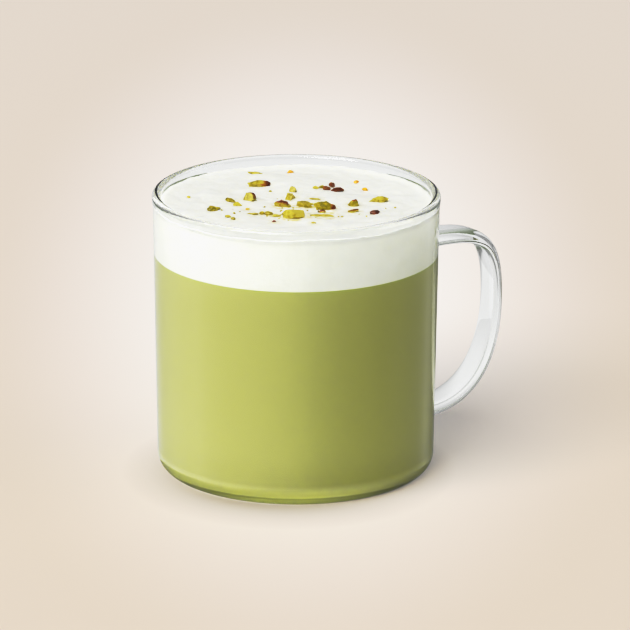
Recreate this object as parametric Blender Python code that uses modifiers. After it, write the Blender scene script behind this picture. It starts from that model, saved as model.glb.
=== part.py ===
"""Pistachio latte in a clear glass mug: the mug with its handle, the latte, and the foam with its nuts.

Metres, +Z up. The origin is the middle of the mug's flat foot, and the handle points to +X.
"""

import math

import bmesh
import bpy
from mathutils import Euler, Matrix, Vector, noise

MM = 0.001

# Mug body: a slightly tapered cylinder with a rounded foot and a thicker, fire-polished lip.
MUG_HEIGHT = 85.0 * MM
BODY_RADIUS_TOP = 42.5 * MM
BODY_RADIUS_FOOT = 41.2 * MM
FOOT_CORNER = 5.2 * MM
WALL = 2.0 * MM
BASE = 2.6 * MM
LIP_HALF = 1.35 * MM
LIP_BULGE = 0.25 * MM
LIP_BLEND = 3.2 * MM
BODY_STEPS = 72

# Handle: a flat glass strap, bent in one sweep from a root near the rim to a root near the foot.
STRAP_WIDTH = 12.6 * MM
STRAP_THICKNESS = 3.8 * MM
STRAP_SQUARENESS = 2.6
STRAP_SIDES = 20
STRAP_STEPS = 20
ROOT_SPREAD = 1.08
TOP_ROOT_HEIGHT = 66.7 * MM
TOP_REACH = 15.5 * MM
TOP_RISE = math.radians(3.5)
OUT_RADIUS = 63.6 * MM
OUT_HEIGHT = 47.0 * MM
OUT_REACH_UP = 19.5 * MM
OUT_REACH_DOWN = 17.2 * MM
LOW_ROOT_HEIGHT = 13.2 * MM
LOW_REACH = 16.0 * MM
LOW_RISE = math.radians(4.6)
ROOT_DEPTH = 1.1 * MM

# Drink: each layer keeps a hair's gap to its neighbours.
GAP = 0.3 * MM
LATTE_LEVEL = 66.4 * MM
FOAM_LEVEL = 81.6 * MM
FOAM_WAVE = 0.45 * MM
FOAM_WAVE_LENGTH = 17.0 * MM
FOAM_CLIMB = 0.5 * MM
FOAM_CLIMB_WIDTH = 3.0 * MM
FOAM_RINGS = 9

# Chopped pistachio: places and sizes in millimetres, seen from the side the mug is served to,
# which is this far round from -Y. Each row is across, away, length, width, height, turn in degrees.
SERVED_TURN = math.radians(-22)
NUT_SUNK = 0.36
NUT_SPHERE = 0.56
NUT_JITTER = 0.16
NUT_SEGMENTS = 6
NUT_RINGS = 4
NUTS = (
    (-0.3, -13.8, 7.2, 4.4, 3.2, 0),
    (8.5, -5.5, 6.2, 3.6, 2.8, -18),
    (-11.0, 18.3, 6.0, 3.4, 2.2, 10),
    (2.5, -2.8, 5.6, 2.6, 1.9, -14),
    (24.2, 3.0, 5.2, 2.4, 1.9, 10),
    (-13.8, 3.9, 4.0, 3.4, 3.0, -20),
    (-4.3, -2.4, 4.0, 2.6, 2.4, -30),
    (17.0, -2.1, 3.0, 2.6, 2.8, 30),
    (-2.1, 4.8, 3.4, 2.4, 2.4, -45),
    (11.8, 13.2, 4.2, 1.9, 1.5, 12),
    (10.5, 18.3, 2.4, 2.2, 1.9, 0),
    (8.9, 15.4, 2.6, 1.9, 1.5, -35),
    (-1.1, 12.3, 2.3, 1.8, 2.0, -60),
    (7.6, -13.7, 8.6, 1.5, 1.0, -3),
    (-24.7, -8.2, 3.0, 2.3, 1.7, -8),
    (23.0, -10.2, 3.1, 1.9, 1.4, -8),
    (17.1, -8.9, 3.6, 1.5, 1.3, 25),
    (-12.6, 31.5, 4.2, 1.5, 1.1, -20),
    (-19.5, 0.9, 3.6, 1.3, 1.2, -50),
    (-17.4, -3.0, 2.2, 1.6, 1.4, 10),
    (-8.2, -11.3, 2.9, 1.6, 1.3, 5),
    (-12.8, -12.3, 3.0, 1.4, 0.9, -12),
    (5.7, 15.0, 1.7, 1.5, 1.2, 0),
    (7.6, -9.1, 1.8, 1.4, 1.1, 0),
    (-20.1, -16.0, 1.7, 1.3, 1.1, -30),
    (20.5, 15.6, 1.6, 1.3, 1.1, 0),
)


def collection(name):
    """A new collection under the scene."""
    made = bpy.data.collections.new(name)
    bpy.context.scene.collection.children.link(made)
    return made


def material(name, colour, roughness, transmission=0.0, ior=1.45):
    """A Principled material."""
    made = bpy.data.materials.new(name)
    made.use_nodes = True
    shader = made.node_tree.nodes["Principled BSDF"]
    shader.inputs["Base Color"].default_value = (*colour, 1)
    shader.inputs["Roughness"].default_value = roughness
    shader.inputs["Metallic"].default_value = 0.0
    shader.inputs["Transmission Weight"].default_value = transmission
    shader.inputs["IOR"].default_value = ior
    return made


def add(name, mesh, into, look=None):
    """A named object for a mesh, in a collection, with its material."""
    made = bpy.data.objects.new(name, mesh)
    into.objects.link(made)
    if look:
        mesh.materials.append(look)
    return made


def smooth_step(x):
    """0 below 0, 1 above 1, and an even curve between."""
    x = min(max(x, 0.0), 1.0)
    return x * x * (3 - 2 * x)


def outer_radius(z):
    """Outside of the mug's wall at a height, without the lip."""
    return BODY_RADIUS_FOOT + (BODY_RADIUS_TOP - BODY_RADIUS_FOOT) * z / MUG_HEIGHT


def inner_radius(z):
    """Inside of the mug's wall at a height, without the lip."""
    return outer_radius(z) - WALL


def arc(centre_x, centre_z, radius, start, end, count):
    """Points along an arc, angles in degrees from +X, both ends included."""
    angles = (math.radians(start + (end - start) * i / count) for i in range(count + 1))
    return [(centre_x + radius * math.cos(a), centre_z + radius * math.sin(a)) for a in angles]


def floor_and_wall(radius_at, floor, corner, top, wall_points):
    """Inner outline from the axis, over a rounded corner and up a wall to a height."""
    corner_radius = radius_at(floor + corner) - corner
    points = [(0.0, floor)]
    points += arc(corner_radius, floor + corner, corner, -90, 0, 6)
    rise = top - floor - corner
    heights = (floor + corner + rise * i / wall_points for i in range(1, wall_points + 1))
    points += [(radius_at(z), z) for z in heights]
    return points


def lip_points():
    """The lip's outline, from the inner wall over the top to the outer wall."""
    centre = outer_radius(MUG_HEIGHT) + LIP_BULGE - LIP_HALF
    height = MUG_HEIGHT - LIP_HALF
    crown = arc(centre, height, LIP_HALF, 180, 0, 10)
    steps = 4
    inside = []
    outside = []
    for i in range(1, steps + 1):
        z = height - LIP_BLEND * i / steps
        fade = smooth_step(i / steps)
        inside.append((centre - LIP_HALF + (inner_radius(z) - centre + LIP_HALF) * fade, z))
        outside.append((centre + LIP_HALF + (outer_radius(z) - centre - LIP_HALF) * fade, z))
    return list(reversed(inside)) + crown + outside


def mug_outline():
    """Half section of the mug's body, from the inner floor over the lip and down to the foot."""
    lip_bottom = MUG_HEIGHT - LIP_HALF - LIP_BLEND
    inner_corner = FOOT_CORNER - WALL / 2
    points = floor_and_wall(inner_radius, BASE, inner_corner, lip_bottom, 1)[:-1]
    points += lip_points()
    foot_centre = outer_radius(FOOT_CORNER) - FOOT_CORNER
    points += arc(foot_centre, FOOT_CORNER, FOOT_CORNER, 0, -90, 7)
    points.append((0.0, 0.0))
    return points


def turned(name, outline, into, look):
    """A solid turned from a half section, as an object with a plain mesh."""
    mesh = bpy.data.meshes.new(name)
    edges = [(i, i + 1) for i in range(len(outline) - 1)]
    mesh.from_pydata([(x, 0.0, z) for x, z in outline], edges, [])
    body = add(name, mesh, into, look)
    screw = body.modifiers.new("Turned", "SCREW")
    screw.steps = BODY_STEPS
    screw.render_steps = BODY_STEPS
    screw.use_merge_vertices = True
    screw.merge_threshold = 0.00001
    screw.use_smooth_shade = True
    bake(body)
    return body


def bake(body):
    """Turn an object's modifiers into its own mesh."""
    bpy.context.view_layer.update()
    evaluated = body.evaluated_get(bpy.context.evaluated_depsgraph_get())
    mesh = bpy.data.meshes.new_from_object(evaluated)
    body.modifiers.clear()
    body.data = mesh


def smooth(body, sharp_angle=35):
    """Smooth shading, sharp where faces meet at more than an angle."""
    body.data.shade_smooth()
    body.data.set_sharp_from_angle(angle=math.radians(sharp_angle))


def strap_section(into):
    """The strap's rounded flat cross-section, as a closed curve."""
    shape = bpy.data.curves.new("strap_section", "CURVE")
    line = shape.splines.new("POLY")
    line.points.add(STRAP_SIDES - 1)
    power = 2 / STRAP_SQUARENESS
    for i, point in enumerate(line.points):
        angle = math.tau * i / STRAP_SIDES
        x = math.copysign(abs(math.cos(angle)) ** power, math.cos(angle)) * STRAP_WIDTH / 2
        y = math.copysign(abs(math.sin(angle)) ** power, math.sin(angle)) * STRAP_THICKNESS / 2
        point.co = (x, y, 0, 1)
    line.use_cyclic_u = True
    section = bpy.data.objects.new("strap_section", shape)
    section.hide_render = True
    section.display_type = "WIRE"
    into.objects.link(section)
    return section


def strap_route():
    """The strap's centre line: three Bezier points, each with its two handles, in the XZ plane."""
    top = Vector((outer_radius(TOP_ROOT_HEIGHT) - ROOT_DEPTH, 0, TOP_ROOT_HEIGHT))
    out = Vector((OUT_RADIUS, 0, OUT_HEIGHT))
    low = Vector((outer_radius(LOW_ROOT_HEIGHT) - ROOT_DEPTH, 0, LOW_ROOT_HEIGHT))
    top_way = Vector((math.cos(TOP_RISE), 0, math.sin(TOP_RISE))) * (TOP_REACH + ROOT_DEPTH)
    low_way = Vector((math.cos(LOW_RISE), 0, math.sin(LOW_RISE))) * (LOW_REACH + ROOT_DEPTH)
    up = Vector((0, 0, OUT_REACH_UP))
    down = Vector((0, 0, -OUT_REACH_DOWN))
    return (
        (top, top - top_way, top + top_way, ROOT_SPREAD),
        (out, out + up, out + down, 1.0),
        (low, low + low_way, low - low_way, ROOT_SPREAD),
    )


def strap(into, guides):
    """The handle as a closed mesh, swept along its route."""
    section = strap_section(guides)
    shape = bpy.data.curves.new("strap", "CURVE")
    shape.dimensions = "3D"
    shape.bevel_mode = "OBJECT"
    shape.bevel_object = section
    shape.use_fill_caps = True
    shape.resolution_u = STRAP_STEPS
    line = shape.splines.new("BEZIER")
    line.bezier_points.add(2)
    for point, (place, back, ahead, spread) in zip(line.bezier_points, strap_route()):
        point.co = place
        point.handle_left = back
        point.handle_right = ahead
        point.radius = spread
    guide = bpy.data.objects.new("strap_guide", shape)
    guides.objects.link(guide)
    bpy.context.view_layer.update()
    evaluated = guide.evaluated_get(bpy.context.evaluated_depsgraph_get())
    mesh = bpy.data.meshes.new_from_object(evaluated)
    made = add("strap", mesh, into)
    made.matrix_world = guide.matrix_world
    bpy.data.objects.remove(guide)
    bpy.data.objects.remove(section)
    shaped = bmesh.new()
    shaped.from_mesh(mesh)
    bmesh.ops.remove_doubles(shaped, verts=shaped.verts, dist=0.00001)
    bmesh.ops.recalc_face_normals(shaped, faces=shaped.faces)
    shaped.to_mesh(mesh)
    shaped.free()
    return made


def join(body, pieces):
    """One Boolean union of an object with all the pieces in a collection, which are then removed."""
    union = body.modifiers.new("Union", "BOOLEAN")
    union.operation = "UNION"
    union.operand_type = "COLLECTION"
    union.collection = pieces
    union.use_self = True
    bake(body)
    for piece in list(pieces.objects):
        bpy.data.objects.remove(piece)
    bpy.data.collections.remove(pieces)


def glass_mug(parts, guides):
    """The clear mug: a turned body with the strap fused on at both roots."""
    glass = material("borosilicate_glass", (0.96, 0.98, 0.96), 0.02, 1.0, 1.47)
    body = turned("glass_mug", mug_outline(), parts, glass)
    strap_parts = collection("strap_parts")
    strap(strap_parts, guides)
    join(body, strap_parts)
    smooth(body)
    return body


def drink_radius(z):
    """Outside of the drink at a height."""
    return inner_radius(z) - GAP


def latte(parts):
    """The green latte, from just over the glass floor up to the foam."""
    green = material("pistachio_latte", (0.42, 0.42, 0.11), 0.4)
    corner = FOOT_CORNER - WALL / 2 - GAP
    top = LATTE_LEVEL - GAP / 2
    outline = floor_and_wall(drink_radius, BASE + GAP, corner, top, 1)
    outline.append((0.0, top))
    outline.reverse()
    body = turned("latte", outline, parts, green)
    smooth(body)
    return body


def foam_height(x, y):
    """Height of the foam's surface: gently uneven, and climbing the glass a little at its edge."""
    wave = noise.noise(Vector((x, y, 0)) / FOAM_WAVE_LENGTH) * FOAM_WAVE
    reach = drink_radius(FOAM_LEVEL) - math.hypot(x, y)
    climb = FOAM_CLIMB * smooth_step(1 - reach / FOAM_CLIMB_WIDTH)
    return FOAM_LEVEL + wave + climb


def foam_outline():
    """Half section of the foam, from the middle of its top out to the wall and down."""
    edge = drink_radius(FOAM_LEVEL)
    flat = edge - FOAM_CLIMB_WIDTH
    points = [(flat * i / FOAM_RINGS, FOAM_LEVEL) for i in range(FOAM_RINGS + 1)]
    points += [(flat + FOAM_CLIMB_WIDTH * i / 3, FOAM_LEVEL) for i in range(1, 4)]
    bottom = LATTE_LEVEL + GAP / 2
    points.append((drink_radius(bottom), bottom))
    points.append((0.0, bottom))
    return points


def nut(number, row, into):
    """One chopped piece of pistachio, sunk a little into the foam."""
    across, away, length, width, height, turn = row
    shaped = bmesh.new()
    bmesh.ops.create_uvsphere(shaped, u_segments=NUT_SEGMENTS, v_segments=NUT_RINGS, radius=NUT_SPHERE)
    for vert in shaped.verts:
        rough = noise.noise_vector(vert.co * 3 + Vector((number * 7.3, 0, 0)))
        vert.co += rough * NUT_JITTER
    place = Matrix.Rotation(SERVED_TURN, 3, "Z") @ Vector((across * MM, away * MM, 0))
    place.z = foam_height(place.x, place.y) + height * MM * (0.5 - NUT_SUNK)
    heading = Euler((0, 0, math.radians(turn) + SERVED_TURN)).to_matrix().to_4x4()
    scale = Matrix.Diagonal((length * MM, width * MM, height * MM, 1))
    bmesh.ops.transform(shaped, matrix=Matrix.Translation(place) @ heading @ scale, verts=shaped.verts)
    mesh = bpy.data.meshes.new(f"nut_{number}")
    shaped.to_mesh(mesh)
    shaped.free()
    return add(f"nut_{number}", mesh, into)


def milk_foam(parts):
    """The white foam up to just under the lip, with the chopped pistachios fused on."""
    white = material("milk_foam", (0.86, 0.86, 0.8), 0.55)
    body = turned("milk_foam", foam_outline(), parts, white)
    for vert in body.data.vertices:
        if vert.co.z > FOAM_LEVEL - MM:
            vert.co.z = foam_height(vert.co.x, vert.co.y)
    nuts = collection("nuts")
    for number, row in enumerate(NUTS):
        nut(number, row, nuts)
    join(body, nuts)
    smooth(body)
    return body


def main():
    """Clear the scene and build the drink."""
    for old in list(bpy.data.objects):
        bpy.data.objects.remove(old)
    parts = collection("pistachio_latte")
    guides = collection("cutters")
    glass_mug(parts, guides)
    latte(parts)
    milk_foam(parts)


main()
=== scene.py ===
"""Dresses a pistachio latte in its clear glass mug and sets it in a plain studio.

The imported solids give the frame: metres, +Z up, the mug's foot at the origin and its handle towards +X.
Each solid is replaced by a finer piece of the same form, and the finest crumbs are added on the foam.
"""

import logging
import math
import random
from dataclasses import dataclass
from enum import Enum
from typing import Any, Iterable, Sequence

import bpy
from bpy.types import Material, Node, NodeSocket, NodeTree, Object
from mathutils import Euler, Matrix, Quaternion, Vector, noise


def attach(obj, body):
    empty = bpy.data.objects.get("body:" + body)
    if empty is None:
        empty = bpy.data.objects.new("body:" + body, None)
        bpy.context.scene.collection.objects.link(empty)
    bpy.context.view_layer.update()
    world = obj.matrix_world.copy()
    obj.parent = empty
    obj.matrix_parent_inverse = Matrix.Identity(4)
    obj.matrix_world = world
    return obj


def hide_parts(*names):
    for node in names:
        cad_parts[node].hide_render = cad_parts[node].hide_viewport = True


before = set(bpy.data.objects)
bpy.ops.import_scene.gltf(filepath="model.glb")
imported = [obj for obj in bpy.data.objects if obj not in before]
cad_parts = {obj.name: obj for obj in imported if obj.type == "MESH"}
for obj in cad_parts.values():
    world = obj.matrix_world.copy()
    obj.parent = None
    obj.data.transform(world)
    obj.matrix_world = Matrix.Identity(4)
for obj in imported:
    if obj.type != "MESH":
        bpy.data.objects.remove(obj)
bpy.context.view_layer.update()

LOG = logging.getLogger("pistachio_latte")
MM = 0.001
MERGE = 0.002 * MM
BODY = "root"
SERVED_TURN = math.radians(-22)
LATTE_LEVEL = 66.4 * MM
TURN_STEPS = 192

Outline = list[tuple[float, float]]
Colour = tuple[float, float, float, float]
Point = tuple[float, float, float]
Stops = tuple[tuple[float, str], ...]


# ---------------------------------------------------------------- small helpers


def linear(hex_colour: str) -> Colour:
    """Turn an sRGB hex colour into the linear colour that shaders take.

    Args:
        hex_colour: Six hex digits, such as "c4c46a".

    Returns:
        Red, green, blue and an alpha of 1.
    """
    channels = (int(hex_colour[i : i + 2], 16) / 255 for i in (0, 2, 4))
    red, green, blue = (c / 12.92 if c <= 0.04045 else ((c + 0.055) / 1.055) ** 2.4 for c in channels)
    return (red, green, blue, 1.0)


def smooth_step(x: float) -> float:
    """0 below 0, 1 above 1, and an even curve between."""
    x = min(max(x, 0.0), 1.0)
    return x * x * (3 - 2 * x)


def arc(centre: tuple[float, float], radius: float, start: float, end: float, count: int) -> Outline:
    """Points along an arc of an outline.

    Args:
        centre: Distance from the axis and height of the arc's centre.
        radius: The arc's radius.
        start: First angle in degrees, from straight outwards.
        end: Last angle in degrees.
        count: How many steps the arc takes.

    Returns:
        The points, both ends included.
    """
    angles = (math.radians(start + (end - start) * i / count) for i in range(count + 1))
    return [(centre[0] + radius * math.cos(a), centre[1] + radius * math.sin(a)) for a in angles]


def spaced(start: float, end: float, step: float) -> list[float]:
    """Even values from start to end, about a step apart, without the start itself."""
    count = max(1, round(abs(end - start) / step))
    return [start + (end - start) * i / count for i in range(1, count + 1)]


def only(piece: Object) -> None:
    """Select one object alone and make it the active one.

    Args:
        piece: The object.
    """
    bpy.ops.object.select_all(action="DESELECT")
    piece.select_set(True)
    bpy.context.view_layer.objects.active = piece


def close_up(merge: float = MERGE) -> None:
    """Merge the edited piece's doubled points, turn its faces outwards and leave edit mode.

    Args:
        merge: How near two points are to be one.
    """
    bpy.ops.mesh.select_all(action="SELECT")
    bpy.ops.mesh.remove_doubles(threshold=merge)
    bpy.ops.mesh.normals_make_consistent(inside=False)
    bpy.ops.object.mode_set(mode="OBJECT")


def turned(name: str, outline: Outline) -> Object:
    """Turn a half section about the Z axis into a closed solid.

    Args:
        name: The new object's name.
        outline: Distance from the axis and height of each point, from axis to axis.

    Returns:
        The solid, with its faces pointing out.
    """
    bpy.ops.object.select_all(action="DESELECT")
    bpy.ops.mesh.primitive_plane_add(size=MM, location=(0, 0, 0))
    piece = bpy.context.object
    piece.name = name
    bpy.ops.object.mode_set(mode="EDIT")
    bpy.ops.mesh.select_all(action="SELECT")
    bpy.ops.mesh.merge(type="CENTER")
    here = Vector((0, 0, 0))
    for number, (radius, height) in enumerate(outline):
        there = Vector((radius, 0, height))
        if number == 0:
            bpy.ops.transform.translate(value=there - here)
        else:
            bpy.ops.mesh.extrude_vertices_move(TRANSFORM_OT_translate={"value": there - here})
        here = there
    bpy.ops.mesh.select_all(action="SELECT")
    bpy.ops.mesh.spin(steps=TURN_STEPS, angle=math.tau, center=(0, 0, 0), axis=(0, 0, 1))
    close_up()
    return piece


def shade(piece: Object, angle: float) -> None:
    """Shade a piece smooth, with edges sharper than an angle in degrees left crisp."""
    only(piece)
    bpy.ops.object.shade_smooth_by_angle(angle=math.radians(angle))


def hand_over(piece: Object, slot: str, material: Material, *nodes: str) -> None:
    """Give a finished piece its material, attach it to the body and hide the solids that it replaces.

    Args:
        piece: The finished piece.
        slot: Not used.
        material: Its finish.
        nodes: The solids that it replaces.
    """
    piece.data.materials.clear()
    piece.data.materials.append(material)
    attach(piece, BODY)
    if nodes:
        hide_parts(*nodes)
    LOG.info("%s: %d faces", piece.name, len(piece.data.polygons))


def add_node(tree: NodeTree, kind: str, settings: dict[str, Any] | None = None, **inputs: Any) -> Node:
    """Add one node with its settings, values and links.

    Args:
        tree: The node tree to add to.
        kind: Blender's type name of the node.
        settings: The node's own settings, by name.
        inputs: Values or sockets for its inputs, named as in fill.

    Returns:
        The new node.
    """
    node = tree.nodes.new(kind)
    for name, value in (settings or {}).items():
        setattr(node, name, value)
    fill(tree, node, inputs)
    return node


def fill(tree: NodeTree, node: Node, inputs: dict[str, Any]) -> None:
    """Set or link a node's inputs, by name with _ for a space, or in_N by number.

    Args:
        tree: The node tree.
        node: The node to fill.
        inputs: Values or sockets, by name.
    """
    for name, value in inputs.items():
        socket = node.inputs[int(name[3:]) if name.startswith("in_") else name.replace("_", " ")]
        if isinstance(value, NodeSocket):
            tree.links.new(value, socket)
        else:
            socket.default_value = value


class Wiring:
    """A material being wired up: its nodes, and its Principled shader joined to the output."""

    def __init__(self, name: str) -> None:
        """Start a material of this name.

        Args:
            name: The material's name, after the real substance.
        """
        self.material = bpy.data.materials.new(name)
        self.material.use_nodes = True
        self.tree = self.material.node_tree
        self.tree.nodes.clear()
        self.shader = add_node(self.tree, "ShaderNodeBsdfPrincipled")
        add_node(self.tree, "ShaderNodeOutputMaterial", Surface=self.shader.outputs["BSDF"])

    def finish(self, **inputs: Any) -> Material:
        """Set or link the shader's own inputs, and return the finished material."""
        fill(self.tree, self.shader, inputs)
        return self.material

    def lamp(self, colour: NodeSocket, strength: float) -> Material:
        """Finish as a dark sheet that glows in a colour, for what lights the glass."""
        return self.finish(Base_Color=linear("101010"), Emission_Color=colour, Emission_Strength=strength)

    def place(self, turn: float = 0.0) -> NodeSocket:
        """Place on the piece in its own coordinates, turned back about Z.

        Args:
            turn: Angle in radians from the part's axes to the wanted ones.

        Returns:
            The place.
        """
        own = add_node(self.tree, "ShaderNodeTexCoord").outputs["Object"]
        if not turn:
            return own
        return add_node(self.tree, "ShaderNodeVectorRotate", {"rotation_type": "Z_AXIS"}, Vector=own,
                        Angle=-turn).outputs[0]

    def axis(self, place: NodeSocket, name: str) -> NodeSocket:
        """One coordinate of a place."""
        return add_node(self.tree, "ShaderNodeSeparateXYZ", in_0=place).outputs[name]

    def stored(self, name: str) -> NodeSocket:
        """A value stored on the mesh."""
        return add_node(self.tree, "ShaderNodeAttribute", {"attribute_name": name}).outputs["Fac"]

    def cloud(self, place: NodeSocket, size: float, detail: float, distortion: float = 0.0) -> NodeSocket:
        """Noise with lumps of a size in metres."""
        return add_node(self.tree, "ShaderNodeTexNoise", Vector=place, Scale=1 / size, Detail=detail,
                        Distortion=distortion).outputs["Fac"]

    def maths(self, operation: str, *values: Any) -> NodeSocket:
        """One sum of numbers."""
        inputs = {f"in_{number}": value for number, value in enumerate(values)}
        return add_node(self.tree, "ShaderNodeMath", {"operation": operation}, **inputs).outputs[0]

    def vector(self, operation: str, first: Any, second: Any) -> NodeSocket:
        """One sum of vectors or colours."""
        return add_node(self.tree, "ShaderNodeVectorMath", {"operation": operation}, in_0=first,
                        in_1=second).outputs[0]

    def distance(self, place: NodeSocket, centre: Point = (0.0, 0.0, 0.0)) -> NodeSocket:
        """How far a place is from a centre."""
        return add_node(self.tree, "ShaderNodeVectorMath", {"operation": "DISTANCE"}, in_0=place,
                        in_1=centre).outputs["Value"]

    def scaled(self, colour: Any, share: Any) -> NodeSocket:
        """A colour times a share."""
        return add_node(self.tree, "ShaderNodeVectorMath", {"operation": "SCALE"}, in_0=colour,
                        Scale=share).outputs[0]

    def blend(self, share: NodeSocket, first: NodeSocket, second: Any) -> NodeSocket:
        """The first colour at a share of 0, the second at 1."""
        return add_node(self.tree, "ShaderNodeMix", {"data_type": "RGBA"}, in_0=share, in_6=first,
                        in_7=second).outputs[2]

    def even(self, value: NodeSocket, start: float, end: float, low: float = 0.0, high: float = 1.0,
             curve: str = "LINEAR") -> NodeSocket:
        """Carry a value's range from start to end over to low to high, and hold it outside.

        Args:
            value: What is carried over.
            start: Where low is reached.
            end: Where high is reached, below start for a falling range.
            low: The result at start.
            high: The result at end.
            curve: Blender's name of the curve between them.

        Returns:
            The result.
        """
        return add_node(self.tree, "ShaderNodeMapRange", {"interpolation_type": curve}, Value=value,
                        From_Min=start, From_Max=end, To_Min=low, To_Max=high).outputs[0]

    def soft(self, value: NodeSocket, start: float, end: float, low: float = 0.0,
             high: float = 1.0) -> NodeSocket:
        """The same as even, easing in and out at both ends."""
        return self.even(value, start, end, low, high, "SMOOTHSTEP")

    def ramp(self, factor: NodeSocket, stops: Stops) -> NodeSocket:
        """A colour ramp over hex colours.

        Args:
            factor: What drives the ramp.
            stops: Place and hex colour of each stop, in order.

        Returns:
            The ramp's colour.
        """
        node = add_node(self.tree, "ShaderNodeValToRGB", Fac=factor)
        elements = node.color_ramp.elements
        while len(elements) < len(stops):
            elements.new(0.5)
        for element, (place, colour) in zip(elements, stops):
            element.position = place
            element.color = linear(colour)
        return node.outputs["Color"]

    def bump(self, height: NodeSocket, strength: float, depth: float, **under: NodeSocket) -> NodeSocket:
        """Relief of a depth in metres, over the relief given as Normal if there is one."""
        return add_node(self.tree, "ShaderNodeBump", Height=height, Strength=strength, Distance=depth,
                        **under).outputs[0]


# ---------------------------------------------------------------- finishes


@dataclass(frozen=True)
class BorosilicateGlass:
    """Borosilicate glass, blown and fire-polished.

    Clear and colourless, so the drink shows right up to the outer wall; only a long way through it,
    along the lip and the handle's edges, does it turn a faint grey-green.
    """

    tint: str = "fdfefd"
    ior: float = 1.47
    roughness: float = 0.0

    def make(self) -> Material:
        """The glass as a material."""
        return Wiring("fire_polished_borosilicate_glass").finish(
            Base_Color=linear(self.tint), Transmission_Weight=1.0, IOR=self.ior, Roughness=self.roughness)


@dataclass(frozen=True)
class PistachioMilk:
    """Steamed milk blended with ground pistachio, lying against the glass.

    Opaque and even, with very soft shading because light travels a few millimetres in milk. It pales over
    its last millimetre, where it mixes with the foam. Near the foot its colour has painted light, paler on
    the lit side, standing in for light that the thick glass carries down to it, and light goes deeper
    there; its underside has painted shade, a darker line.
    """

    body: str = "afb069"
    mixed: str = "afb463"
    mixing_depth: float = 1.3 * MM
    mixing_end: float = 0.4 * MM
    cloud_size: float = 14.0 * MM
    cloud_lift: float = 0.5 * MM
    painted_foot_light: str = "eaebac"
    painted_light_top: float = 6.8 * MM
    painted_light_bottom: float = 3.8 * MM
    lit_side: float = 4.0 * MM
    dark_side: float = 55.0 * MM
    painted_sole_shade: str = "989a68"
    painted_shade_top: float = 3.0 * MM
    painted_shade_bottom: float = 2.6 * MM
    scatter: float = 2.0 * MM
    scatter_share: float = 0.35
    foot_scatter: float = 7.0 * MM
    foot_scatter_top: float = 16.0 * MM
    foot_scatter_full: float = 8.0 * MM
    scatter_colour: Point = (1.0, 1.0, 0.35)
    roughness: float = 0.45
    ior: float = 1.35

    def make(self) -> Material:
        """Make the drink's material.

        Returns:
            The material.
        """
        wires = Wiring("steamed_pistachio_milk")
        place = wires.place()
        height = wires.axis(place, "Z")
        cloud = wires.cloud(place, self.cloud_size, 3.0)
        lift = wires.maths("MULTIPLY_ADD", cloud, self.cloud_lift, height)
        share = wires.soft(lift, LATTE_LEVEL - self.mixing_depth, LATTE_LEVEL + self.mixing_end)
        colour = wires.ramp(share, ((0.0, self.body), (1.0, self.mixed)))
        # Painted light: near the foot the colour pales towards the lit side.
        foot = wires.soft(height, self.painted_light_top, self.painted_light_bottom)
        across = wires.axis(wires.place(SERVED_TURN), "X")
        painted_light_share = wires.maths("MULTIPLY", foot, wires.soft(across, self.dark_side, self.lit_side))
        lit = wires.blend(painted_light_share, colour, linear(self.painted_foot_light))
        # Painted shade: a darker line along the underside.
        under = wires.soft(height, self.painted_shade_top, self.painted_shade_bottom)
        low = (height, self.foot_scatter_top, self.foot_scatter_full)
        return wires.finish(
            Base_Color=wires.blend(under, lit, linear(self.painted_sole_shade)), Roughness=self.roughness, IOR=self.ior,
            Subsurface_Weight=wires.soft(*low, self.scatter_share),
            Subsurface_Scale=wires.soft(*low, self.scatter, self.foot_scatter),
            Subsurface_Radius=self.scatter_colour)


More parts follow.
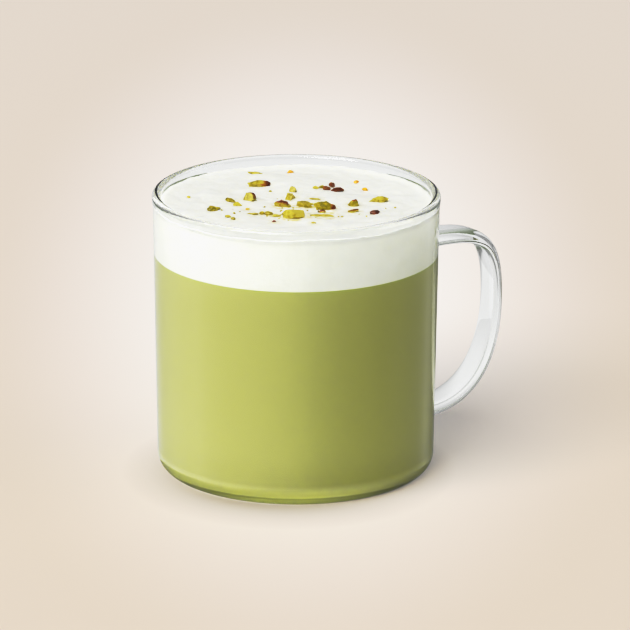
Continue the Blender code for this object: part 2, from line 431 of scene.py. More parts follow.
@dataclass(frozen=True)
class SteamedFoam:
    """Milk frothed with steam into bubbles too fine to tell apart.

    Light scatters far through it, so its shaded side stays bright; close to, its skin has faint
    ripples from pouring and pits where bubbles have burst. It is blotted yellow-green next to the nuts,
    and under the lip it has painted shade, a little greyer.
    """

    white: str = "f3f4ea"
    mixed: str = "eeefdc"
    mixing_start: float = 0.2 * MM
    mixing_depth: float = 0.8 * MM
    mottle_size: float = 3.5 * MM
    mottle_range: tuple[float, float] = (0.3, 0.7)
    mottle_dark: float = 0.965
    stained: str = "dccc5c"
    stain_size: float = 1.7 * MM
    stain_range: tuple[float, float] = (0.4, 0.62)
    painted_lip_shade: str = "d9dad6"
    surface: float = 81.3 * MM
    surface_share: float = 0.3
    scatter: float = 4.0 * MM
    scatter_least: float = 0.1 * MM
    scatter_colour: Point = (1.0, 0.98, 0.85)
    bubble: float = 0.55 * MM
    bubble_softness: float = 0.6
    pit_strength: float = 0.3
    pit_depth: float = 0.1 * MM
    ripple: float = 5.0 * MM
    ripple_strength: float = 0.5
    ripple_depth: float = 0.7 * MM
    roughness: float = 0.6
    ior: float = 1.34

    def make(self) -> Material:
        """Make the foam's material, driven by the mesh's stain and painted_lip_shade values.

        Returns:
            The material.
        """
        wires = Wiring("steamed_milk_foam")
        place = wires.place()
        height = wires.axis(place, "Z")
        share = wires.soft(height, LATTE_LEVEL - self.mixing_start, LATTE_LEVEL + self.mixing_depth)
        colour = wires.ramp(share, ((0.0, self.mixed), (1.0, self.white)))
        mottle = wires.even(wires.cloud(place, self.mottle_size, 4.0), *self.mottle_range, self.mottle_dark)
        soak = wires.even(wires.cloud(place, self.stain_size, 3.0), *self.stain_range)
        wet = wires.maths("MULTIPLY", wires.stored("stain"), soak)
        tinted = wires.blend(wet, wires.scaled(colour, mottle), linear(self.stained))
        # Painted shade: greyer near the glass under the lip.
        shaded = wires.blend(wires.stored("painted_lip_shade"), tinted, linear(self.painted_lip_shade))
        depth = wires.even(height, LATTE_LEVEL, LATTE_LEVEL + self.scatter, self.scatter_least,
                           self.scatter)
        crown = wires.even(height, self.surface - self.scatter, self.surface, 1.0, self.surface_share)
        bubbles = add_node(wires.tree, "ShaderNodeTexVoronoi", {"feature": "SMOOTH_F1"}, Vector=place,
                           Scale=1 / self.bubble, Smoothness=self.bubble_softness)
        pits = wires.bump(bubbles.outputs["Distance"], self.pit_strength, self.pit_depth)
        waves = wires.cloud(place, self.ripple, 2.0)
        return wires.finish(
            Base_Color=shaded, Roughness=self.roughness, IOR=self.ior, Subsurface_Weight=1.0,
            Subsurface_Scale=wires.maths("MULTIPLY", depth, crown), Subsurface_Radius=self.scatter_colour,
            Normal=wires.bump(waves, self.ripple_strength, self.ripple_depth, Normal=pits))


@dataclass(frozen=True)
class ChoppedPistachio:
    """Raw pistachio kernel, knife-chopped, with patches of its papery skin.

    The flesh runs from amber and pale yellow to deep green in streaks and is slightly oily; the skin is
    dry, wrinkled and dark red-brown, and browns the flesh next to it.
    """

    amber: str = "f0b220"
    pale: str = "cdbf46"
    middle: str = "aa9c16"
    deep: str = "66630d"
    tone_range: tuple[float, float] = (-0.6, 1.0)
    streak: float = 1.3 * MM
    streak_twist: float = 0.6
    streak_swing: float = 1.1
    rim: str = "a86a20"
    rim_range: tuple[float, float] = (0.1, 0.4)
    skin_light: str = "8c4a22"
    skin_dark: str = "44170a"
    skin_range: tuple[float, float] = (0.45, 0.65)
    skin_swing: float = 0.4
    wrinkle: float = 0.35 * MM
    wrinkle_strength: float = 0.5
    wrinkle_depth: float = 0.12 * MM
    roughness: float = 0.42
    ior: float = 1.46
    scatter: float = 0.8 * MM
    scatter_share: float = 0.25
    scatter_colour: Point = (1.0, 0.9, 0.25)

    def make(self) -> Material:
        """Make the chopped nut's material, driven by the pieces' tone and skin values.

        Returns:
            The material.
        """
        wires = Wiring("knife_chopped_pistachio")
        place = wires.place()
        streaks = wires.cloud(place, self.streak, 4.0, self.streak_twist)
        shift = wires.maths("MULTIPLY_ADD", streaks, 2 * self.streak_swing, -self.streak_swing)
        level = wires.even(wires.maths("ADD", wires.stored("tone"), shift), *self.tone_range)
        flesh = wires.ramp(level, ((0.0, self.amber), (0.16, self.pale), (0.42, self.pale),
                                   (0.68, self.middle), (1.0, self.deep)))
        paper = wires.ramp(streaks, ((0.35, self.skin_dark), (0.65, self.skin_light)))
        ragged = wires.maths("MULTIPLY_ADD", shift, self.skin_swing, wires.stored("skin"))
        browned = wires.blend(wires.soft(ragged, *self.rim_range), flesh, linear(self.rim))
        wrinkles = wires.cloud(place, self.wrinkle, 3.0)
        return wires.finish(
            Base_Color=wires.blend(wires.soft(ragged, *self.skin_range), browned, paper),
            Roughness=self.roughness, IOR=self.ior, Subsurface_Weight=self.scatter_share,
            Subsurface_Radius=self.scatter_colour, Subsurface_Scale=self.scatter,
            Normal=wires.bump(wrinkles, self.wrinkle_strength, self.wrinkle_depth))


@dataclass(frozen=True)
class OpalTable:
    """Opal acrylic table top, sanded matt and lit softly from below.

    Its colour has painted light, near white round the mug and beige further out; its own cool glow keeps
    shadows pale and grey. The glow grows a little towards the back. Painted shadows darken colour and glow
    where the mug touches down and behind it to the right; under the foot the glow is stronger on the lit
    side.
    """

    painted_light_pool: str = "e7ded4"
    beige: str = "c3ad91"
    centre: Point = (0.004, 0.19, 0.0)
    half_size: Point = (0.097, 0.34, 1.0)
    fade: tuple[float, float] = (0.2, 1.15)
    painted_contact_centre: Point = (-0.002, -0.0045, 0.0)
    painted_contact_narrow: Point = (1.1, 1.0, 1.0)
    painted_contact_reach: float = 0.06
    painted_contact_stops: Stops = (
        (0.55, "b6b6b6"), (0.592, "c2c2c2"), (0.64, "d1d1d1"), (0.703, "e2e2e2"), (0.78, "efefef"),
        (0.92, "ffffff"),
    )
    painted_lee_centre: Point = (0.066, 0.09, 0.0)
    painted_lee_reach: float = 0.085
    painted_lee_share: float = 0.88
    glow_colour: str = "e8ecf6"
    glow: float = 0.265
    glow_edges: tuple[float, float] = (-0.13, 0.55)
    glow_shares: tuple[float, float] = (0.92, 1.22)
    foot_edge: tuple[float, float] = (0.0365, 0.0385)
    under_sides: tuple[float, float] = (-0.008, 0.034)
    under_shares: tuple[float, float] = (1.9, 0.3)
    roughness: float = 0.9
    specular: float = 0.1

    def make(self) -> Material:
        """Make the table top's material.

        Returns:
            The material.
        """
        wires = Wiring("sanded_opal_acrylic")
        place = wires.place(SERVED_TURN)
        # Painted light: lighter round the mug, beige further out.
        pooled = wires.vector("DIVIDE", wires.vector("SUBTRACT", place, self.centre), self.half_size)
        fall = wires.soft(wires.distance(pooled), *self.fade)
        colour = wires.ramp(fall, ((0.0, self.painted_light_pool), (1.0, self.beige)))
        # Painted shadows: colour and glow darken where the mug touches down and behind it to the right.
        offset = wires.vector("SUBTRACT", place, self.painted_contact_centre)
        near = wires.distance(wires.vector("MULTIPLY", offset, self.painted_contact_narrow))
        painted_contact_shade = wires.ramp(wires.maths("DIVIDE", near, self.painted_contact_reach), self.painted_contact_stops)
        painted_lee_shadow = wires.soft(wires.distance(place, self.painted_lee_centre), 0.0, self.painted_lee_reach, self.painted_lee_share)
        painted_shadow = wires.scaled(painted_contact_shade, painted_lee_shadow)
        slope = wires.even(wires.axis(place, "Y"), *self.glow_edges, *self.glow_shares)
        under = wires.even(wires.axis(place, "X"), *self.under_sides, *self.under_shares)
        clear = wires.soft(wires.distance(place), *self.foot_edge)
        beyond = add_node(wires.tree, "ShaderNodeMix", {"data_type": "FLOAT"}, in_0=clear, in_2=under,
                          in_3=1.0).outputs[0]
        share = wires.maths("MULTIPLY", wires.maths("MULTIPLY", slope, painted_shadow), beyond)
        return wires.finish(
            Base_Color=wires.scaled(colour, painted_shadow), Roughness=self.roughness,
            Specular_IOR_Level=self.specular, Emission_Strength=self.glow,
            Emission_Color=wires.scaled(linear(self.glow_colour)[:3], share))


@dataclass(frozen=True)
class LitFilm:
    """White film lit from behind, for what is seen through the clear glass.

    It gives the glass its neutral light. It has painted shade, dark in a ring round the foot, it is dimmer
    at the sides, and it has a painted shadow of the mug behind the handle; under the foot it has a warm
    green glow that lights the drink's lowest part.
    """

    glow: float = 0.9
    reach: float = 0.4
    stops: Stops = ((0.15, "ffffff"), (0.3, "fafafa"), (0.42, "eaeaea"), (0.55, "e8e8e8"), (0.75, "f0f0f0"))
    middle: Point = (0.0015, 0.0, 0.0)
    ring_edge: tuple[float, float] = (0.0397, 0.0427)
    field_centre: float = 0.005
    field_edge: tuple[float, float] = (0.12, 0.17)
    field_least: float = 0.38
    painted_mug_shadow_centre: Point = (0.062, 0.01, 0.0)
    painted_mug_shadow_edge: tuple[float, float] = (0.02, 0.06)
    painted_mug_shadow_least: float = 0.55
    foot_colour: str = "d6d798"
    foot_share: float = 3.6
    foot_edge: tuple[float, float] = (0.0385, 0.0335)
    foot_sides: tuple[float, float] = (0.036, -0.004)

    def make(self) -> Material:
        """Make the film's material.

        Returns:
            The material.
        """
        wires = Wiring("lit_white_film")
        place = wires.place(SERVED_TURN)
        middle = wires.distance(place, self.middle)
        across = wires.axis(place, "X")
        aside = wires.maths("ABSOLUTE", wires.maths("SUBTRACT", across, self.field_centre))
        field = wires.soft(aside, *self.field_edge, 1.0, self.field_least)
        # Painted shadow of the mug: dimmer under and behind the handle.
        handle = wires.distance(place, self.painted_mug_shadow_centre)
        painted_mug_shadow = wires.soft(handle, *self.painted_mug_shadow_edge, self.painted_mug_shadow_least)
        # Painted shade: dark in a ring round the foot.
        share = wires.maths("MULTIPLY", wires.soft(middle, *self.ring_edge),
                            wires.maths("MULTIPLY", field, painted_mug_shadow))
        outer = wires.scaled(wires.ramp(wires.maths("DIVIDE", middle, self.reach), self.stops), share)
        disc = wires.soft(middle, *self.foot_edge, 0.0, self.foot_share)
        within = wires.maths("MULTIPLY", disc, wires.soft(across, *self.foot_sides))
        inner = wires.scaled(linear(self.foot_colour)[:3], within)
        return wires.lamp(wires.vector("ADD", outer, inner), self.glow)


@dataclass(frozen=True)
class TentCloth:
    """White tent cloth, olive-grey low down and pale above, for the glass's edges that look upwards."""

    stops: Stops = ((0.46, "5f6a48"), (0.5, "7f8772"), (0.56, "9ea39a"), (0.66, "b4b6b3"), (0.8, "c6c7c6"))

    def make(self, radius: float) -> Material:
        """Make the cloth's material, graded from the tent's lowest to its highest point.

        Args:
            radius: The tent's radius.

        Returns:
            The material.
        """
        wires = Wiring("white_tent_cloth")
        rise = wires.even(wires.axis(wires.place(), "Z"), -radius, radius)
        return wires.lamp(wires.ramp(rise, self.stops), 1.0)


@dataclass(frozen=True)
class GradedCard:
    """White card graded with grey round the table, for the soft sheens down the mug's sides."""

    glow: float = 2.9
    stops: Stops = (
        (0.0, "606060"), (0.08, "747474"), (0.12, "888888"), (0.17, "505050"), (0.245, "505050"),
        (0.255, "7c7c7c"), (0.372, "a4a4a4"), (0.442, "d8d8d8"), (0.511, "f6f6f6"), (0.583, "d6d6d6"),
        (0.64, "c8c8c8"), (0.719, "a8a8a8"), (0.76, "909090"), (0.82, "686868"), (0.88, "484848"),
        (0.95, "404040"), (1.0, "606060"),
    )

    def make(self) -> Material:
        """Make the card's material, graded by the angle round the mug from the side opposite the viewer.

        Returns:
            The material.
        """
        wires = Wiring("graded_white_card")
        faced = wires.place(SERVED_TURN - math.pi)
        around = add_node(wires.tree, "ShaderNodeTexGradient", {"gradient_type": "RADIAL"}, Vector=faced)
        return wires.lamp(wires.ramp(around.outputs["Fac"], self.stops), self.glow)


# ---------------------------------------------------------------- the mug


@dataclass
class GlassMug:
    """The clear mug: a turned, slightly tapered body with a strap handle fused on at both roots."""

    height: float = 85.0 * MM
    radius_top: float = 42.5 * MM
    radius_foot: float = 41.2 * MM
    foot_corner: float = 5.2 * MM
    wall: float = 2.0 * MM
    base: float = 2.6 * MM
    lip_half: float = 1.35 * MM
    lip_bulge: float = 0.25 * MM
    lip_blend: float = 3.2 * MM
    strap_width: float = 12.6 * MM
    strap_thickness: float = 3.8 * MM
    strap_squareness: float = 0.709
    root_spread: float = 1.08
    root_depth: float = 1.1 * MM
    top_root: float = 66.7 * MM
    top_reach: float = 15.5 * MM
    top_rise: float = math.radians(3.5)
    out_radius: float = 63.6 * MM
    out_height: float = 47.0 * MM
    out_reach_up: float = 19.5 * MM
    out_reach_down: float = 17.2 * MM
    low_root: float = 13.2 * MM
    low_reach: float = 16.0 * MM
    low_rise: float = math.radians(4.6)
    ring_step: float = 3.0 * MM
    crown_steps: int = 24
    blend_steps: int = 12
    inner_corner_steps: int = 14
    outer_corner_steps: int = 18
    strap_steps: int = 48
    section_steps: int = 14
    crisp_above: float = 35.0

    def outer(self, z: float) -> float:
        """Outside of the wall at a height, without the lip."""
        return self.radius_foot + (self.radius_top - self.radius_foot) * z / self.height

    def inner(self, z: float) -> float:
        """Inside of the wall at a height, without the lip."""
        return self.outer(z) - self.wall

    @property
    def inner_corner(self) -> float:
        """Radius of the rounded corner between the inner floor and wall."""
        return self.foot_corner - self.wall / 2

    def lip(self) -> Outline:
        """The lip's outline, from the inner wall over the crown to the outer wall.

        Returns:
            Its points.
        """
        centre = self.outer(self.height) + self.lip_bulge - self.lip_half
        height = self.height - self.lip_half
        crown = arc((centre, height), self.lip_half, 180, 0, self.crown_steps)
        inside = []
        outside = []
        for step in range(1, self.blend_steps + 1):
            z = height - self.lip_blend * step / self.blend_steps
            fade = smooth_step(step / self.blend_steps)
            near = centre - self.lip_half
            far = centre + self.lip_half
            inside.append((near + (self.inner(z) - near) * fade, z))
            outside.append((far + (self.outer(z) - far) * fade, z))
        return inside[::-1] + crown + outside

    def outline(self) -> Outline:
        """Half section of the body, from the inner floor over the lip and down to the foot.

        Returns:
            Its points.
        """
        corner = self.inner_corner
        top = self.height - self.lip_half - self.lip_blend
        start = self.base + corner
        points = [(0.0, self.base)]
        points += arc((self.inner(start) - corner, start), corner, -90, 0, self.inner_corner_steps)
        points += [(self.inner(z), z) for z in spaced(start, top, self.ring_step)[:-1]]
        points += self.lip()
        points += [(self.outer(z), z) for z in spaced(top, self.foot_corner, self.ring_step)[:-1]]
        points += arc((self.outer(self.foot_corner) - self.foot_corner, self.foot_corner),
                      self.foot_corner, 0, -90, self.outer_corner_steps)
        points.append((0.0, 0.0))
        return points

    def root(self, height: float, reach: float, rise: float) -> tuple[Vector, Vector]:
        """Where the strap's middle starts, a little inside the wall, and how far it first runs outwards."""
        start = Vector((self.outer(height) - self.root_depth, 0, height))
        return start, Vector((math.cos(rise), 0, math.sin(rise))) * (reach + self.root_depth)

    def route(self) -> list[tuple[Vector, Vector, Vector, float]]:
        """The strap's centre line, from the top root round to the low one.

        Returns:
            Three Bezier points, each with its two handles and its spread.
        """
        top, top_way = self.root(self.top_root, self.top_reach, self.top_rise)
        low, low_way = self.root(self.low_root, self.low_reach, self.low_rise)
        out = Vector((self.out_radius, 0, self.out_height))
        up = Vector((0, 0, self.out_reach_up))
        down = Vector((0, 0, -self.out_reach_down))
        return [
            (top, top - top_way, top + top_way, self.root_spread),
            (out, out + up, out + down, 1.0),
            (low, low + low_way, low - low_way, self.root_spread),
        ]

    def section(self) -> Object:
        """The strap's cross-section: a circle's four points, drawn out to a rounded flat shape.

        Returns:
            The curve to sweep.
        """
        bpy.ops.object.select_all(action="DESELECT")
        bpy.ops.curve.primitive_bezier_circle_add(radius=1.0, location=(0, 0, 0))
        section = bpy.context.object
        section.data.resolution_u = self.section_steps
        size = Vector((self.strap_width, self.strap_thickness, 0)) / 2
        for point in section.data.splines[0].bezier_points:
            point.handle_left_type = "FREE"
            point.handle_right_type = "FREE"
            for name in ("handle_left", "handle_right"):
                reach = (getattr(point, name) - point.co).normalized() * self.strap_squareness
                setattr(point, name, (point.co + reach) * size)
            point.co = point.co * size
        return section

    def strap(self) -> Object:
        """The strap, swept along its route and closed at both ends.

        Returns:
            The strap as a mesh.
        """
        section = self.section()
        bpy.ops.object.select_all(action="DESELECT")
        bpy.ops.curve.primitive_bezier_curve_add(radius=1.0, location=(0, 0, 0))
        strap = bpy.context.object
        curve = strap.data
        curve.dimensions = "3D"
        curve.bevel_mode = "OBJECT"
        curve.bevel_object = section
        curve.use_fill_caps = True
        curve.resolution_u = self.strap_steps
        points = curve.splines[0].bezier_points
        points.add(1)
        for point, (place, back, ahead, spread) in zip(points, self.route()):
            point.handle_left_type = "FREE"
            point.handle_right_type = "FREE"
            point.co = place
            point.handle_left = back
            point.handle_right = ahead
            point.radius = spread
        only(strap)
        bpy.ops.object.convert(target="MESH")
        bpy.data.objects.remove(section)
        bpy.ops.object.mode_set(mode="EDIT")
        close_up()
        return strap

    def build(self, finish: BorosilicateGlass) -> None:
        """Build and dress the mug, which lets all light through to the drink.

        Args:
            finish: The glass.
        """
        mug = turned("clear_glass_mug", self.outline())
        strap = self.strap()
        only(mug)
        fused = mug.modifiers.new("fused", "BOOLEAN")
        fused.operation = "UNION"
        fused.solver = "EXACT"
        fused.object = strap
        bpy.ops.object.modifier_apply(modifier=fused.name)
        bpy.data.objects.remove(strap)
        shade(mug, self.crisp_above)
        hand_over(mug, "clear_glass", finish.make(), "glass_mug")
        mug.visible_shadow = False


# ---------------------------------------------------------------- the drink


@dataclass(frozen=True)
class Mound:
    """A soft swell in the foam, or a dip where its height is below 0, in millimetres as served."""

    across: float
    away: float
    reach: float
    height: float


MOUNDS = (
    Mound(7.5, -20.5, 4.5, 0.75),
    Mound(-3.0, -21.0, 5.0, -0.45),
    Mound(-16.0, -15.0, 5.5, 0.4),
    Mound(20.0, -15.0, 5.5, -0.4),
    Mound(12.0, 4.5, 6.0, 0.45),
    Mound(-8.5, 9.0, 5.5, -0.4),
    Mound(-24.0, 8.0, 7.0, 0.4),
    Mound(2.0, 23.0, 8.0, 0.4),
    Mound(25.0, 12.0, 6.0, -0.35),
    Mound(-20.0, 24.0, 7.0, -0.3),
)


@dataclass
class Drink:
    """The latte and the foam, both reaching a hair into the glass so that no air gap shows."""

    mug: GlassMug
    foam_level: float = 81.6 * MM
    into_wall: float = 0.15 * MM
    seam_overlap: float = 0.05 * MM
    wave: float = 0.45 * MM
    wave_length: float = 17.0 * MM
    ripple: float = 0.3 * MM
    ripple_length: float = 6.0 * MM
    ripple_falloff: float = 0.6
    ripple_finer: float = 2.1
    ripple_layers: int = 3
    lip_shade: float = 1.1 * MM
    lip_shade_depth: float = 1.5
    climb: float = 0.5 * MM
    climb_width: float = 3.0 * MM
    gap_in_solid: float = 0.3 * MM
    corner_steps: int = 14
    latte_ring_step: float = 4.0 * MM
    foam_ring_step: float = 0.55 * MM
    foam_wall_step: float = 1.5 * MM
    latte_crisp_above: float = 50.0
    foam_crisp_above: float = 60.0

    def radius(self, z: float) -> float:
        """Outside of the drink at a height."""
        return self.mug.inner(z) + self.into_wall

    def foam_height(self, x: float, y: float) -> float:
        """Height of the foam's surface: gently uneven, climbing the glass a little at its edge.

        Args:
            x: Place along the part's X axis.
            y: Place along the part's Y axis.

        Returns:
            The height above the foot.
        """
        wave = noise.noise(Vector((x, y, 0)) / self.wave_length) * self.wave
        served = Matrix.Rotation(-SERVED_TURN, 2) @ Vector((x, y)) / MM
        for mound in MOUNDS:
            off = math.dist(served, (mound.across, mound.away)) / mound.reach
            wave += mound.height * MM * math.exp(-off * off)
        reach = self.mug.inner(self.foam_level) - self.gap_in_solid - math.hypot(x, y)
        climb = self.climb * smooth_step(1 - reach / self.climb_width)
        return self.foam_level + wave + climb

    def latte_outline(self) -> Outline:
        """Half section of the latte, from the middle of its top, down the wall and over the floor.

        Returns:
            Its points.
        """
        corner = self.mug.inner_corner + self.into_wall
        floor = self.mug.base - self.into_wall
        top = LATTE_LEVEL + self.seam_overlap
        start = floor + corner
        points = [(0.0, top), (self.radius(top), top)]
        points += [(self.radius(z), z) for z in spaced(top, start, self.latte_ring_step)[:-1]]
        points += arc((self.radius(start) - corner, start), corner, 0, -90, self.corner_steps)
        points.append((0.0, floor))
        return points

    def foam_outline(self) -> Outline:
        """Half section of the foam, from the middle of its top, over the edge and down the wall.

        Returns:
            Its points.
        """
        edge = self.radius(self.foam_level)
        bottom = LATTE_LEVEL - self.seam_overlap
        points = [(0.0, self.foam_level)]
        points += [(r, self.foam_level) for r in spaced(0.0, edge, self.foam_ring_step)]
        points += [(self.radius(z), z) for z in spaced(self.foam_level, bottom, self.foam_wall_step)]
        points.append((0.0, bottom))
        return points

    def build_latte(self, finish: PistachioMilk) -> None:
        """Build and dress the green layer.

        Args:
            finish: The drink's finish.
        """
        latte = turned("pistachio_milk", self.latte_outline())
        shade(latte, self.latte_crisp_above)
        hand_over(latte, "green_latte", finish.make(), "latte")

    def paint_lip_shade(self, foam: Object) -> None:
        """Store on the foam how near it is to the glass under the lip, where a painted shade makes it
        greyer.

        Args:
            foam: The foam.
        """
        layer = foam.data.attributes.new("painted_lip_shade", "FLOAT", "POINT")
        for vert in foam.data.vertices:
            inward = self.radius(vert.co.z) - math.hypot(vert.co.x, vert.co.y)
            below = (self.foam_level - vert.co.z) / self.lip_shade
            near = smooth_step(1 - inward / self.lip_shade) * smooth_step(self.lip_shade_depth - below)
            layer.data[vert.index].value = near

    def build_foam(self, finish: SteamedFoam) -> Object:
        """Build and dress the white layer, with its surface as uneven as poured foam is.

        Args:
            finish: The foam's finish.

        Returns:
            The foam.
        """
        foam = turned("steamed_foam", self.foam_outline())
        for vert in foam.data.vertices:
            if vert.co.z > self.foam_level - MERGE:
                x, y = vert.co.x, vert.co.y
                fine = noise.fractal(Vector((x, y, 0)) / self.ripple_length, self.ripple_falloff,
                                     self.ripple_finer, self.ripple_layers)
                vert.co.z = self.foam_height(x, y) + fine * self.ripple
        self.paint_lip_shade(foam)
        shade(foam, self.foam_crisp_above)
        hand_over(foam, "white_foam", finish.make(), "milk_foam")
        return foam


# ---------------------------------------------------------------- the chopped nuts


class Skin(Enum):
    """Where a piece of nut still has its papery skin, as a direction in the piece's own frame."""

    NONE = (0.0, 0.0, 0.0)
    TIP = (1.0, 0.0, 0.15)
    TOP = (0.1, 0.35, 1.0)
    BACK = (0.0, 1.0, 0.5)
    ALL = (0.0, 0.0, 9.0)


@dataclass(frozen=True)
class Nut:
    """One piece of chopped nut, in millimetres, laid out from the side that the mug is served to.

    across, away: its place on the foam. length, width, height: its size. turn: its heading in degrees.
    tone: below 0 for amber, 0 for pale yellow, 1 for deep green. skin and share: where its skin is, and
    how much.
    """

    across: float
    away: float
    length: float
    width: float
    height: float
    turn: float
    tone: float = 0.5
    skin: Skin = Skin.NONE
    share: float = 0.35


NUTS = (
    Nut(-0.3, -13.8, 6.8, 4.4, 3.2, 0, 0.2),
    Nut(8.5, -5.5, 5.9, 3.6, 2.8, -18, 0.62, Skin.TIP, 0.2),
    Nut(-11.0, 18.3, 5.6, 3.4, 2.2, 10, 0.35, Skin.TIP, 0.28),
    Nut(2.5, -2.8, 5.4, 2.6, 1.9, -14, 0.5, Skin.TIP, 0.16),
    Nut(24.2, 3.0, 5.2, 2.4, 1.9, 10, 0.25),
    Nut(-13.8, 3.9, 4.2, 3.4, 2.7, -35, 0.6, Skin.BACK, 0.33),
    Nut(-4.3, -2.4, 4.0, 2.6, 2.4, -30, 0.35, Skin.TOP, 0.36),
    Nut(17.0, -2.1, 3.0, 2.6, 2.8, 30, 0.45, Skin.TOP, 0.3),
    Nut(-2.1, 4.8, 3.4, 2.4, 2.2, -45, 0.3),
    Nut(12.2, 12.9, 3.6, 1.8, 1.4, 12, 0.5, Skin.ALL, 0.72),
    Nut(10.5, 17.9, 2.0, 2.0, 1.7, 0, 0.6, Skin.ALL, 1.0),
    Nut(8.9, 14.6, 2.2, 1.6, 1.2, -35, 0.4, Skin.ALL, 0.6),
    Nut(-1.1, 12.3, 2.3, 1.8, 2.0, -60, 0.5),
    Nut(7.6, -13.7, 8.2, 1.3, 0.6, -3, 0.15),
    Nut(-24.7, -8.2, 3.0, 2.3, 1.7, -8, 0.65, Skin.BACK, 0.15),
    Nut(23.0, -10.2, 2.9, 1.8, 1.3, -8, 0.5, Skin.ALL, 0.9),
    Nut(17.1, -8.9, 3.3, 1.5, 1.2, 25, 0.35, Skin.TOP, 0.3),
    Nut(-12.6, 31.5, 4.6, 1.6, 0.8, -20, 0.3),
    Nut(-19.5, 0.9, 3.6, 1.3, 1.2, -50, 0.65),
    Nut(-17.4, -3.0, 2.2, 1.6, 1.4, 10, 0.3),
    Nut(-8.2, -11.3, 2.6, 1.5, 1.1, 5, 0.55),
    Nut(-12.8, -12.3, 3.0, 1.4, 0.6, -12, 0.25),
    Nut(5.7, 15.0, 1.7, 1.5, 1.2, 0, 0.35),
    Nut(7.6, -9.1, 1.6, 1.3, 0.9, 0, 0.3, Skin.TOP, 0.5),
    Nut(-20.1, -16.0, 1.5, 1.2, 0.9, -30, 0.5),
    Nut(20.5, 15.6, 1.6, 1.3, 1.0, 0, -0.9),
)

CRUMBS = (
    Nut(-1.8, 32.6, 1.7, 1.3, 1.1, 25, -0.9),
    Nut(18.0, 22.7, 1.5, 1.3, 1.1, 0, -0.9),
    Nut(7.6, 16.0, 1.6, 1.1, 1.0, 20, 0.5),
    Nut(-23.0, -7.4, 1.2, 1.0, 0.9, 0, 0.7),
    Nut(-32.0, 5.5, 1.0, 0.9, 0.7, 0, 0.1),
    Nut(-18.5, -18.2, 1.3, 1.1, 0.9, -20, 0.5),
    Nut(-14.4, -6.7, 1.1, 1.0, 0.5, 0, -0.2),
    Nut(-10.0, -11.4, 1.5, 1.2, 1.1, 15, 0.25),
    Nut(-5.8, -13.3, 2.2, 1.3, 0.7, -5, 0.2),
    Nut(-6.5, -19.4, 1.2, 0.9, 0.7, 0, 0.5, Skin.ALL, 0.6),
    Nut(5.0, -22.4, 1.1, 0.9, 0.4, 0, 0.2),
    Nut(5.5, 3.1, 3.2, 1.2, 0.3, -25, 0.15),
)


